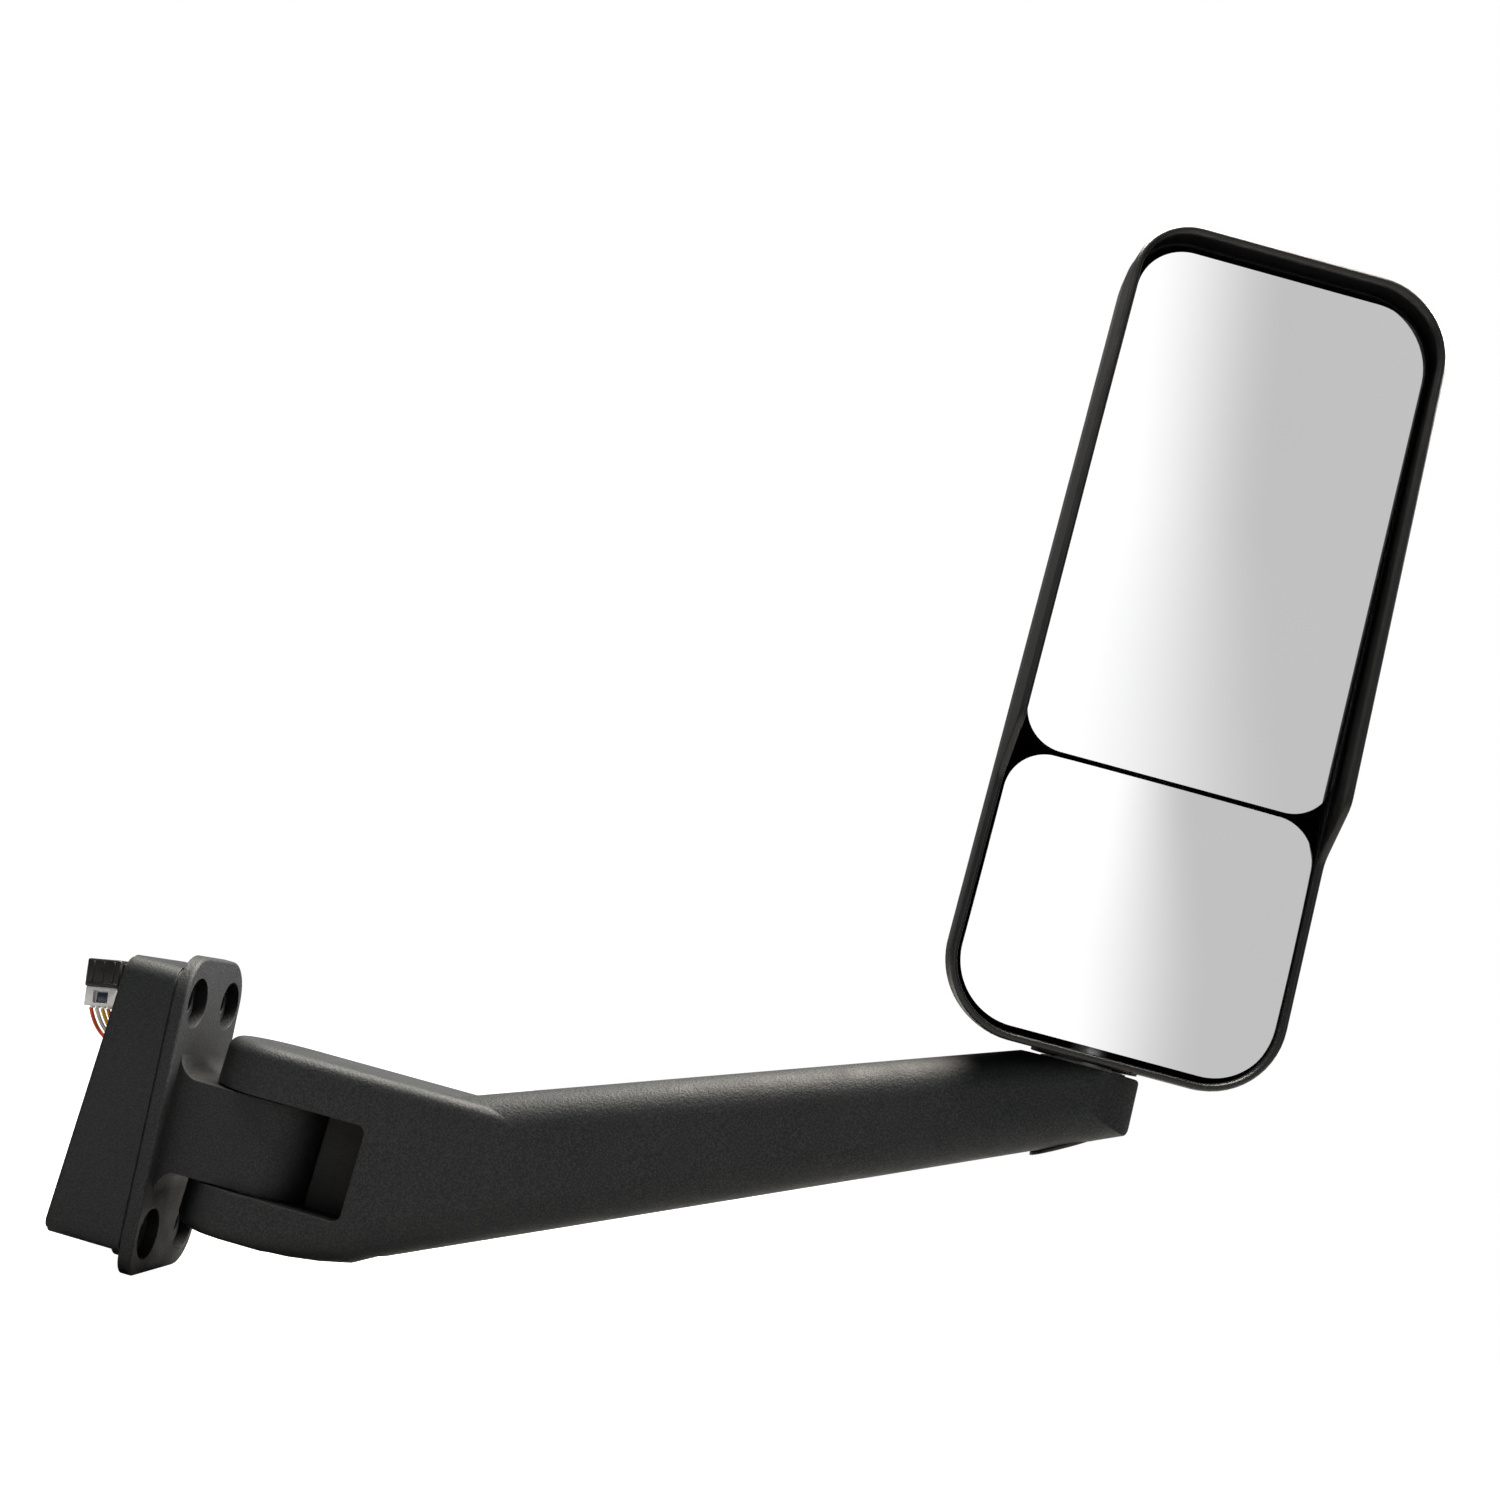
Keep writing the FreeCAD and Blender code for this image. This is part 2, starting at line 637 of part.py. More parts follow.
def makeHeadBracket():
    spine = headBox(-27, 27, 78, 82, footZ, 565)
    foot = headBox(-27, 27, 44, 82, footZ, footZ + 5)
    webs = [prism([headAt(a, 79, footZ + 4), headAt(a, 46, footZ + 4), headAt(a, 79, footZ + 32)], [0, 0, 0],
                  vec(3, 0, 0)) for a in (-27, 24)]
    shape = fuseAll([spine, foot] + webs)
    shape = shape.cut(headRod(postR - 2, (0, swivelB, 160), (0, swivelB, footZ + 8)))
    for a, z in shellScrewPlaces() + actuatorScrewPlaces():
        shape = shape.cut(headRod(2.2, (a, 70, z), (a, 90, z)))
    window = prism([headAt(-14, 70, 350), headAt(14, 70, 350), headAt(14, 70, 420), headAt(-14, 70, 420)],
                   [8, 8, 8, 8], vec(0, 20, 0))
    return placeHead(shape.cut(window))


def makeSwivelPost():
    shape = headRod(postR, (0, swivelB, swivelNutZ - 1.5), (0, swivelB, 160))
    collar = headRod(collarR, (0, swivelB, collarLowZ), (0, swivelB, footZ))
    stud = headRod(postR - 2, (0, swivelB, footZ - 1), (0, swivelB, footZ + 15))
    return placeHead(fuseAll([shape, collar, stud]))


def makeSwivelNuts():
    lower = hexNut(24, postR, 0, 0, swivelNutZ, swivelNutZ + 6)
    upper = hexNut(22, postR - 2, 0, 0, footZ + 5, footZ + 13)
    return placeHead(lower), placeHead(upper)


def makeShellScrews():
    screws = []
    for a, z in shellScrewPlaces():
        head = headRod(4, (a, 75.4, z), (a, 78, z))
        screws.append(head.fuse(headRod(1.95, (a, 77, z), (a, 92, z))).removeSplitter())
    return placeHead(group(screws))


def makeBezelClips():
    clips = []
    for z in (205.0, 268.0, 352.0, 430.0, 508.0, 575.0):
        for side in (-1, 1):
            edge = rightSide(z) if side > 0 else -leftSide(z)
            gap = 3.9 if z < 300 else 3.7
            lead = 7.5 if z < 300 else 3.3
            spread = sorted((side * (edge - gap), side * (edge - gap - 0.9)))
            clips.append(headBox(spread[0], spread[1], partingB + lead, partingB + lead + 6.7, z - 4, z + 4))
    return placeHead(group(clips))


# ---------- power unit behind the upper glass ----------

def casePlan(b, inset):
    half = 48.0 - inset
    return [headAt(-half, b, upperMidZ - half), headAt(half, b, upperMidZ - half),
            headAt(half, b, upperMidZ + half), headAt(-half, b, upperMidZ + half)]


def pivotLugs(pivotB, backB, midZ):
    """Pair of ears that carry the upright pins of a spider."""
    ears = [headBox(-5, 5, pivotB - 4, backB, midZ + low, midZ + low + 7) for low in (-17, 10)]
    hole = headRod(spiderPinR + runFit, (0, pivotB, midZ - 18), (0, pivotB, midZ + 18))
    return [ear.cut(hole) for ear in ears]


def plungerPlaces():
    return {"pan": (plungerArm, upperMidZ), "tilt": (0.0, upperMidZ + plungerArm)}


def makeActuatorHousing():
    shape = prism(casePlan(44, 0), [14] * 4, vec(0, gearB - 44, 0))
    shape = shape.cut(prism(casePlan(47.5, 3), [11] * 4, vec(0, 30, 0)))
    sleeves = [headRod(6, (a, 46, z), (a, gearB - 2.3, z)) for a, z in plungerPlaces().values()]
    shape = fuseAll([shape] + sleeves + pivotLugs(upperPivotB, 45, upperMidZ))
    for a, z in plungerPlaces().values():
        shape = shape.cut(headRod(stemR + 0.08, (a, 40, z), (a, 70, z)))
    return placeHead(shape)


def makeActuatorCover():
    shape = prism(casePlan(gearB, 0), [14] * 4, vec(0, 78 - gearB, 0))
    shape = shape.cut(prism(casePlan(gearB - 1, 3), [11] * 4, vec(0, 76 - gearB, 0)))
    for a, z in plungerPlaces().values():
        sleeve = headRod(6, (a, gearB + 2.3, z), (a, 76, z))
        shape = shape.fuse(sleeve).cut(headRod(stemR + 0.3, (a, 50, z), (a, 74.5, z)))
    for a, z in actuatorScrewPlaces():
        post = headRod(5, (a, gearB + 8, z), (a, 76, z))
        shape = shape.fuse(post).cut(headRod(1.95, (a, gearB + 10, z), (a, 80, z)))
    for a, z in shellScrewPlaces():
        shape = shape.cut(headRod(4.5, (a, 74, z), (a, 79, z)))
    return placeHead(shape.removeSplitter())


def makeActuatorScrews():
    screws = []
    for a, z in actuatorScrewPlaces():
        head = headRod(4, (a, 82, z), (a, 84.6, z))
        screws.append(head.fuse(headRod(1.95, (a, gearB + 11, z), (a, 83, z))).removeSplitter())
    return placeHead(group(screws))


def makePlunger(a, z):
    ball = Part.makeSphere(ballR, headAt(a, upperPivotB, z))
    neck = headRod(2.0, (a, upperPivotB, z), (a, 42.5, z))
    stem = headRod(stemR, (a, 42, z), (a, 70, z))
    return placeHead(fuseAll([ball, neck, stem]))


def makePlungerGear(a, z):
    """Toothed ring that turns on the plunger's thread."""
    points = []
    for tooth in range(gearTeeth):
        for share, radius in ((0.0, gearR - 1.3), (0.28, gearR - 1.3), (0.4, gearR), (0.72, gearR)):
            turn = 2 * math.pi * (tooth + share) / gearTeeth
            points.append(headAt(a + radius * math.cos(turn), gearB - 2, z + radius * math.sin(turn)))
    wheel = prism(points, [0] * len(points), vec(0, 4, 0))
    return placeHead(wheel.cut(headRod(stemR + runFit, (a, gearB - 4, z), (a, gearB + 4, z))))


def makeMotor(worm, drive, rear):
    """Small motor whose worm runs beside a plunger gear: worm tip, worm root and motor's rear."""
    axis = [(drive[k] - worm[k]) for k in range(3)]
    wormShape = headRod(2.6, worm, drive)
    nose = tuple(drive[k] + axis[k] * 0.15 for k in range(3))
    shaft = headRod(1.2, worm, nose)
    can = headRod(9.5, nose, rear)
    return placeHead(fuseAll([wormShape, shaft, can]))


def makeMotors():
    wormGap = gearR + 3.0
    panZ = upperMidZ - wormGap
    panMotor = makeMotor((plungerArm + 7, gearB, panZ), (plungerArm - 9, gearB, panZ), (-10, gearB, panZ))
    tiltA = -wormGap
    tiltTop = upperMidZ + plungerArm
    tiltMotor = makeMotor((tiltA, gearB, tiltTop + 7), (tiltA, gearB, tiltTop - 9),
                          (tiltA, gearB, upperMidZ - 4))
    return panMotor, tiltMotor


def makeLowerPivotBase():
    plate = prism([headAt(-25, 52, lowerMidZ - 30), headAt(25, 52, lowerMidZ - 30),
                   headAt(25, 52, lowerMidZ + 30), headAt(-25, 52, lowerMidZ + 30)], [10] * 4,
                  vec(0, 26, 0))
    plate = plate.cut(headBox(-21, 21, 56, 79, lowerMidZ - 26, lowerMidZ + 26))
    lugs = pivotLugs(lowerPivotB, 53, lowerMidZ)
    return placeHead(fuseAll([plate] + lugs))


def makeSpider(pivotB, midZ):
    """Cross with an upright pair and a level pair of pins."""
    core = headBox(-6, 6, pivotB - 3, pivotB + 3, midZ - 6, midZ + 6)
    upright = headRod(spiderPinR, (0, pivotB, midZ - 17), (0, pivotB, midZ + 17))
    level = headRod(spiderPinR, (-17, pivotB, midZ), (17, pivotB, midZ))
    return placeHead(fuseAll([core, upright, level]))


# ---------- glasses ----------

def glassOutline(b, midZ, halfZ, inset, gapRight, radii):
    """Outline of a glass, a steady gap inside the head's two sides."""
    low = midZ - halfZ + inset
    high = midZ + halfZ - inset
    points = [headAt(leftSide(low) + glassGapLeft + inset, b, low),
              headAt(rightSide(low) - gapRight - inset, b, low),
              headAt(rightSide(high) - gapRight - inset, b, high),
              headAt(leftSide(high) + glassGapLeft + inset, b, high)]
    return points, [radius - inset / 2 for radius in radii]


def upperOutline(inset, b):
    return glassOutline(b, upperMidZ, upperHalfZ, inset, glassGapRight, (24, 24, 36, 28))


def lowerOutline(inset, b):
    return glassOutline(b, lowerMidZ, lowerHalfZ, inset, lowerGapRight, (36, 36, 24, 24))


def makeUpperGlass():
    points, radii = upperOutline(0, upperGlassB)
    return placeHead(prism(points, radii, vec(0, glassThick, 0)))


def makeHeaterPad():
    points, radii = upperOutline(5, upperGlassB + glassThick)
    return placeHead(prism(points, radii, vec(0, 0.5, 0)))


def backingLugs(pivotB, frontB, midZ):
    ears = [headBox(low, low + 7, frontB, pivotB + 4, midZ - 5, midZ + 5) for low in (-17, 10)]
    hole = headRod(spiderPinR + runFit, (-18, pivotB, midZ), (18, pivotB, midZ))
    return [ear.cut(hole) for ear in ears]


def makeUpperBacking():
    frontB = upperGlassB + glassThick
    points, radii = upperOutline(0.6, frontB)
    shape = prism(points, radii, vec(0, 4, 0))
    padPoints, padRadii = upperOutline(5, frontB)
    shape = shape.cut(prism(padPoints, padRadii, vec(0, 0.5, 0)))
    shape = fuseAll([shape] + backingLugs(upperPivotB, frontB + 2, upperMidZ))
    for a, z in plungerPlaces().values():
        shape = shape.fuse(headRod(7.5, (a, frontB + 2, z), (a, upperPivotB + 3.2, z)))
        shape = shape.cut(Part.makeSphere(ballR + 0.3, headAt(a, upperPivotB, z)))
    return placeHead(shape.removeSplitter())


def convexBall(depth):
    """Ball whose front is the convex face, or a surface the given depth behind it."""
    return Part.makeSphere(convexR - depth, headAt(0, lowerGlassB + convexR, lowerMidZ), vec(0, 0, 1),
                           -20, 20, 360)


def makeLowerGlass():
    points, radii = lowerOutline(0, lowerGlassB - 4)
    block = prism(points, radii, vec(0, 20, 0))
    return placeHead(block.common(convexBall(0)).cut(convexBall(glassThick)))


def makeLowerBacking():
    points, radii = lowerOutline(0.6, lowerGlassB - 4)
    block = prism(points, radii, vec(0, 14.5, 0))
    shape = block.common(convexBall(glassThick))
    return placeHead(fuseAll([shape] + backingLugs(lowerPivotB, lowerGlassB + 8, lowerMidZ)))


def makeHeadHarness():
    points = [headAt(33, 60, 178), headAt(36, 66, 225), headAt(38, 70, 285), headAt(36, 69, 350),
              headAt(30, 66, 424)]
    return placeHead(tubeAlong(points, 2.5)[0])


def buildNodes():
    nodes = {}
    nodes["base_bracket"] = makeBaseBracket()
    nodes["mounting_block"] = makeMountingBlock()
    nodes["base_gasket"] = makeGasket()
    nodes["block_screws"] = makeBlockScrews()
    nodes["harness_grommet"] = makeGrommet()
    nodes["base_harness"] = makeBaseHarness()
    nodes["hinge_bush_upper"], nodes["hinge_bush_lower"] = makeBushes()
    nodes["thrust_washer_upper"], nodes["thrust_washer_lower"] = makeThrustWashers()
    nodes["connector_clip"] = makeConnectorClip()
    nodes["connector_housing"] = makeConnectorHousing()
    nodes["connector_lock"] = makeConnectorLock()
    nodes["connector_terminals"] = makeTerminals()
    for name in wireNames:
        nodes["wire_" + name] = makeWire(name)
    nodes["arm_casting"] = makeArm()
    nodes["hinge_pin"] = makeHingePin()
    nodes["hinge_nut"] = hexNut(28, pinR, hingeX, 0, -51, -43.5)
    nodes["hinge_springs"] = springStack(hingeX, 16, pinR + 0.1, -43.5, nutSeatZ, 3)
    nodes["hinge_cap"] = makeHingeCap()
    nodes["swivel_bush"] = ring(postR + 4, postR + runFit, (swivelX, 0, swivelFloorZ),
                                (swivelX, 0, armDeckZ))
    nodes["swivel_washer"] = ring(24, postR + 4, (swivelX, 0, armDeckZ), (swivelX, 0, collarLowZ - 0.2))
    nodes["swivel_cover"] = makeSwivelCover()
    nodes["arm_harness"] = makeArmHarness()
    nodes["head_bezel"] = placeHead(makeBezel())
    nodes["head_shell"] = makeShell()
    nodes["bezel_clips"] = makeBezelClips()
    nodes["head_bracket"] = makeHeadBracket()
    nodes["shell_screws"] = makeShellScrews()
    nodes["swivel_post"] = makeSwivelPost()
    nodes["swivel_nut"], nodes["post_nut"] = makeSwivelNuts()
    nodes["swivel_springs"] = springStack(swivelX, 16, postR + 0.1, swivelNutZ + 6, swivelFloorZ - 0.2, 5)
    nodes["actuator_housing"] = makeActuatorHousing()
    nodes["actuator_cover"] = makeActuatorCover()
    nodes["actuator_screws"] = makeActuatorScrews()
    nodes["pan_motor"], nodes["tilt_motor"] = makeMotors()
    for name, place in plungerPlaces().items():
        nodes[name + "_plunger"] = makePlunger(*place)
        nodes[name + "_gear"] = makePlungerGear(*place)
    nodes["lower_pivot_base"] = makeLowerPivotBase()
    nodes["head_harness"] = makeHeadHarness()
    nodes["upper_spider"] = makeSpider(upperPivotB, upperMidZ)
    nodes["lower_spider"] = makeSpider(lowerPivotB, lowerMidZ)
    nodes["upper_glass"] = makeUpperGlass()
    nodes["heater_pad"] = makeHeaterPad()
    nodes["upper_backing"] = makeUpperBacking()
    nodes["lower_glass"] = makeLowerGlass()
    nodes["lower_backing"] = makeLowerBacking()
    return nodes


for node, shape in buildNodes().items():
    solids = len(shape.Solids)
    print(node, "solids", solids, "valid", shape.isValid(), "volume", round(shape.Volume))
    shape.exportStep("parts/" + node + ".step")
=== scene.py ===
import json
import math

import bmesh
import bpy
from mathutils import Matrix, Vector

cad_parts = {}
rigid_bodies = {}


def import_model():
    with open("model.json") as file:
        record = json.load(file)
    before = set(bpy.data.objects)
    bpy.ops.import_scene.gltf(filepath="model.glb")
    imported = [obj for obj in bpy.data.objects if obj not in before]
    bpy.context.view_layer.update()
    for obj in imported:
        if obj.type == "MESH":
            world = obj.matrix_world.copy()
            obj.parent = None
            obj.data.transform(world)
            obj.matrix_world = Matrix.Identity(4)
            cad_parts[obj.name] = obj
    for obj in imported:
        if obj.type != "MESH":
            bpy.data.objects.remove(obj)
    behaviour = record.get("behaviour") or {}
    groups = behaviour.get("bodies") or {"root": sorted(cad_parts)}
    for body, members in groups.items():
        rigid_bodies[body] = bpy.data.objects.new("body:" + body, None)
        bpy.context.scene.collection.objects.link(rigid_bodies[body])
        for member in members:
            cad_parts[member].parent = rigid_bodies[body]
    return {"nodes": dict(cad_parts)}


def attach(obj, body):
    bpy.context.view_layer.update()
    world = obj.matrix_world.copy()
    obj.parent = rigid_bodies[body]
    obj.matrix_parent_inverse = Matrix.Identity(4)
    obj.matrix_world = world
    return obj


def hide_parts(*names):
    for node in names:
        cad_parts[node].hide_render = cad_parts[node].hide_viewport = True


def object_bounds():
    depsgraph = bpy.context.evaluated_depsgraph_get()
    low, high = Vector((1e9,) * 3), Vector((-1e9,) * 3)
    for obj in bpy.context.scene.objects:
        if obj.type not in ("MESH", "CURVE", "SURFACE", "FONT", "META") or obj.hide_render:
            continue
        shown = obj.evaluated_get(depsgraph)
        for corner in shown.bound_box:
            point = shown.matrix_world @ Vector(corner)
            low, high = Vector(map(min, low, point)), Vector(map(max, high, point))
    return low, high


for leftover in list(bpy.data.objects):
    bpy.data.objects.remove(leftover)
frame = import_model()
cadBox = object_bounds()
nodes = frame["nodes"]
studio = bpy.context.scene
print("frame loaded:", len(nodes), "nodes")


# camera
viewpoint = {"place": (0.414, -1.042, 0.128), "heading": 6.0, "tip": 98.6, "roll": 15.0, "lens": 43.46,
             "sensor": 36.0}

lens = bpy.data.cameras.new("studioCamera")
lens.lens = viewpoint["lens"]
lens.sensor_width = viewpoint["sensor"]
lens.clip_start = 0.01
lens.dof.use_dof = False
cameraStand = bpy.data.objects.new("studioCamera", lens)
studio.collection.objects.link(cameraStand)
turn = (Matrix.Rotation(math.radians(viewpoint["heading"]), 4, "Z")
        @ Matrix.Rotation(math.radians(viewpoint["tip"]), 4, "X")
        @ Matrix.Rotation(math.radians(viewpoint["roll"]), 4, "Z"))
cameraStand.matrix_world = Matrix.Translation(viewpoint["place"]) @ turn
studio.camera = cameraStand
studio.view_settings.view_transform = "Standard"
studio.view_settings.look = "None"
print("camera set")


# finishes
def startFinish(name):
    finish = bpy.data.materials.new(name)
    finish.use_nodes = True
    tree = finish.node_tree
    surface = tree.nodes["Principled BSDF"]
    coords = tree.nodes.new("ShaderNodeTexCoord").outputs["Object"]
    return finish, tree, surface, coords


def cloudy(tree, coords, scale, detail=3.0, rough=0.55):
    noise = tree.nodes.new("ShaderNodeTexNoise")
    noise.inputs["Scale"].default_value = scale
    noise.inputs["Detail"].default_value = detail
    noise.inputs["Roughness"].default_value = rough
    tree.links.new(coords, noise.inputs["Vector"])
    return noise.outputs["Fac"]


def spread(tree, value, low, high, outLow, outHigh):
    reach = tree.nodes.new("ShaderNodeMapRange")
    reach.inputs["From Min"].default_value = low
    reach.inputs["From Max"].default_value = high
    reach.inputs["To Min"].default_value = outLow
    reach.inputs["To Max"].default_value = outHigh
    tree.links.new(value, reach.inputs["Value"])
    return reach.outputs["Result"]


def calc(tree, kind, first, second):
    step = tree.nodes.new("ShaderNodeMath")
    step.operation = kind
    for socket, value in zip(step.inputs, (first, second)):
        if isinstance(value, (int, float)):
            socket.default_value = value
        else:
            tree.links.new(value, socket)
    return step.outputs["Value"]


def twoTone(tree, share, dark, light):
    blendOf = tree.nodes.new("ShaderNodeMix")
    blendOf.data_type = "RGBA"
    if isinstance(share, (int, float)):
        blendOf.inputs["Factor"].default_value = share
    else:
        tree.links.new(share, blendOf.inputs["Factor"])
    for socket, value in ((blendOf.inputs[6], dark), (blendOf.inputs[7], light)):
        if isinstance(value, tuple):
            socket.default_value = (*value, 1.0)
        else:
            tree.links.new(value, socket)
    return blendOf.outputs[2]


def edgeShare(tree, radius):
    # 0 on flat faces and 1 on corners rounder than the radius
    rounded = tree.nodes.new("ShaderNodeBevel")
    rounded.samples = 4
    rounded.inputs["Radius"].default_value = radius
    plain = tree.nodes.new("ShaderNodeNewGeometry")
    agree = tree.nodes.new("ShaderNodeVectorMath")
    agree.operation = "DOT_PRODUCT"
    tree.links.new(rounded.outputs["Normal"], agree.inputs[0])
    tree.links.new(plain.outputs["Normal"], agree.inputs[1])
    return spread(tree, agree.outputs["Value"], 0.995, 0.8, 0.0, 1.0), rounded.outputs["Normal"]


def paintedShadeFactor(tree, reach):
    # 1 in the open and less deep inside slots and wells: painted shade that darkens the colour there
    shelter = tree.nodes.new("ShaderNodeAmbientOcclusion")
    shelter.samples = 4
    shelter.inputs["Distance"].default_value = reach
    return spread(tree, shelter.outputs["AO"], 0.45, 0.82, 0.0, 1.0)


def grainyFinish(name, look):
    # moulded plastic, powder coat or rubber: tone drift, fine grain, scuffed edges, and painted shade in
    # slots and wells where recess is set
    finish, tree, surface, coords = startFinish(name)
    drift = spread(tree, cloudy(tree, coords, look["drift"]), 0.32, 0.68, 0.0, 1.0)
    speck = spread(tree, cloudy(tree, coords, look["grain"] * 1.7, 1.0), 0.4, 0.66, 0.0, look["speck"])
    colour = twoTone(tree, drift, look["dark"], look["light"])
    colour = twoTone(tree, speck, colour, look["dust"])
    rims, softNormal = edgeShare(tree, look["edge"])
    scuff = spread(tree, cloudy(tree, coords, 160.0, 3.0), 0.42, 0.62, 0.25, 1.0)
    worn = calc(tree, "MULTIPLY", calc(tree, "MULTIPLY", rims, scuff), look["wear"])
    colour = twoTone(tree, worn, colour, look["wornTone"])
    # painted shade: ambient occlusion darkens the colour towards a near-black tone in slots and wells
    if look["recess"] > 0.0:
        colour = twoTone(tree, paintedShadeFactor(tree, look["recess"]), look["paintedShadeTone"], colour)
    tree.links.new(colour, surface.inputs["Base Color"])
    rubs = cloudy(tree, coords, 55.0, 4.0, 0.6)
    tree.links.new(spread(tree, rubs, 0.3, 0.7, look["rough"] - look["roughDrift"],
                          look["rough"] + look["roughDrift"]), surface.inputs["Roughness"])
    surface.inputs["Specular IOR Level"].default_value = look["shine"]
    pits = tree.nodes.new("ShaderNodeTexVoronoi")
    pits.feature = "SMOOTH_F1"
    pits.inputs["Scale"].default_value = look["grain"]
    tree.links.new(coords, pits.inputs["Vector"])
    sand = cloudy(tree, coords, look["grain"] * 1.3, 2.0)
    height = calc(tree, "ADD", calc(tree, "MULTIPLY", pits.outputs["Distance"], 0.6), sand)
    bump = tree.nodes.new("ShaderNodeBump")
    bump.inputs["Strength"].default_value = look["bump"]
    bump.inputs["Distance"].default_value = look["depth"]
    tree.links.new(height, bump.inputs["Height"])
    tree.links.new(softNormal, bump.inputs["Normal"])
    tree.links.new(bump.outputs["Normal"], surface.inputs["Normal"])
    return finish


def metalFinish(name, look):
    # turned or plated metal: tool marks, stain and a little dullness
    finish, tree, surface, coords = startFinish(name)
    drift = spread(tree, cloudy(tree, coords, look["drift"], 4.0), 0.3, 0.7, 0.0, 1.0)
    tree.links.new(twoTone(tree, drift, look["dark"], look["light"]), surface.inputs["Base Color"])
    surface.inputs["Metallic"].default_value = 1.0
    squeeze = tree.nodes.new("ShaderNodeMapping")
    squeeze.inputs["Scale"].default_value = (1.0, 1.0, 14.0)
    tree.links.new(coords, squeeze.inputs["Vector"])
    marks = cloudy(tree, squeeze.outputs["Vector"], look["marks"], 3.0)
    tree.links.new(spread(tree, marks, 0.3, 0.7, look["rough"] - 0.08, look["rough"] + 0.1),
                   surface.inputs["Roughness"])
    softNormal = edgeShare(tree, 0.0004)[1]
    bump = tree.nodes.new("ShaderNodeBump")
    bump.inputs["Strength"].default_value = 0.25
    bump.inputs["Distance"].default_value = 0.00005
    tree.links.new(marks, bump.inputs["Height"])
    tree.links.new(softNormal, bump.inputs["Normal"])
    tree.links.new(bump.outputs["Normal"], surface.inputs["Normal"])
    return finish


def silveredFinish(name, look):
    finish, tree, surface, coords = startFinish(name)
    film = spread(tree, cloudy(tree, coords, 6.0, 2.0), 0.35, 0.65, 0.0, 1.0)
    tree.links.new(twoTone(tree, film, look["dark"], look["light"]), surface.inputs["Base Color"])
    surface.inputs["Metallic"].default_value = 1.0
    dust = cloudy(tree, coords, 420.0, 2.0)
    tree.links.new(spread(tree, dust, 0.55, 0.8, look["rough"], look["rough"] + 0.02),
                   surface.inputs["Roughness"])
    return finish


# recess and the last tone paint shade into the slots and wells of the casting
castLook = {"dark": (0.0060, 0.0088, 0.0102), "light": (0.0095, 0.0128, 0.0144), "dust": (0.035, 0.038, 0.04),
            "speck": 0.6, "drift": 14.0, "grain": 640.0, "rough": 0.58, "roughDrift": 0.06, "shine": 0.26,
            "bump": 0.8, "depth": 0.0003, "edge": 0.0009, "wear": 0.35, "wornTone": (0.07, 0.068, 0.062),
            "recess": 0.05, "paintedShadeTone": (0.0015, 0.0015, 0.0015)}
plasticLook = dict(castLook, grain=820.0, bump=0.6, depth=0.00024, rough=0.54, wear=0.22, speck=0.42,
                   recess=0.0)
shellLook = dict(plasticLook, grain=620.0, bump=0.5, depth=0.0003, rough=0.5, wear=0.18)
satinLook = dict(plasticLook, dark=(0.005, 0.0056, 0.006), light=(0.008, 0.0088, 0.0092), grain=1500.0,
                 bump=0.18, depth=0.0001, rough=0.34, roughDrift=0.05, shine=0.4, wear=0.15, speck=0.08,
                 edge=0.0006)
rubberLook = dict(castLook, recess=0.0, dark=(0.011, 0.011, 0.011), light=(0.018, 0.018, 0.018),
                  rough=0.72, shine=0.25, bump=0.25, wear=0.2, edge=0.0005)
whiteLook = dict(castLook, recess=0.0, dark=(0.6, 0.62, 0.65), light=(0.7, 0.72, 0.74),
                 dust=(0.5, 0.49, 0.46), speck=0.1, drift=60.0, rough=0.42, shine=0.45, bump=0.15,
                 edge=0.0003, wear=0.3, wornTone=(0.86, 0.86, 0.85))
naturalLook = dict(whiteLook, dark=(0.66, 0.64, 0.58), light=(0.76, 0.745, 0.7), wornTone=(0.85, 0.84, 0.8))
foilLook = dict(castLook, recess=0.0, dark=(0.42, 0.17, 0.04), light=(0.55, 0.26, 0.07),
                dust=(0.65, 0.35, 0.12), rough=0.4, bump=0.1, wear=0.2, wornTone=(0.7, 0.4, 0.16))
wireTones = {"wire_red": (0.72, 0.085, 0.02), "wire_white": (0.74, 0.74, 0.72),
             "wire_yellow": (0.8, 0.52, 0.03), "wire_amber": (0.62, 0.24, 0.03),
             "wire_black": (0.012, 0.012, 0.013)}

finishes = {
    "cast_black": grainyFinish("powderCoatedCasting", castLook),
    "plastic_black": grainyFinish("grainedBlackMoulding", plasticLook),
    "plastic_satin": grainyFinish("satinBlackMoulding", satinLook),
    "rubber_black": grainyFinish("blackRubber", rubberLook),
    "plastic_white": grainyFinish("offWhiteNylon", whiteLook),
    "plastic_natural": grainyFinish("naturalAcetal", naturalLook),
    "heater_foil": grainyFinish("amberHeaterFoil", foilLook),
    "steel_zinc": metalFinish("zincPlatedSteel", {"dark": (0.42, 0.43, 0.44), "light": (0.6, 0.61, 0.62),
                                                  "drift": 90.0, "marks": 260.0, "rough": 0.34}),
    "bronze": metalFinish("sinteredBronze", {"dark": (0.42, 0.27, 0.12), "light": (0.58, 0.41, 0.2),
                                             "drift": 120.0, "marks": 400.0, "rough": 0.45}),
    "brass": metalFinish("brightBrass", {"dark": (0.66, 0.47, 0.2), "light": (0.8, 0.62, 0.32),
                                         "drift": 90.0, "marks": 300.0, "rough": 0.26}),
    "mirror_face": silveredFinish("silveredGlass", {"dark": (0.945, 0.95, 0.95),
                                                    "light": (0.965, 0.965, 0.965), "rough": 0.004}),
}
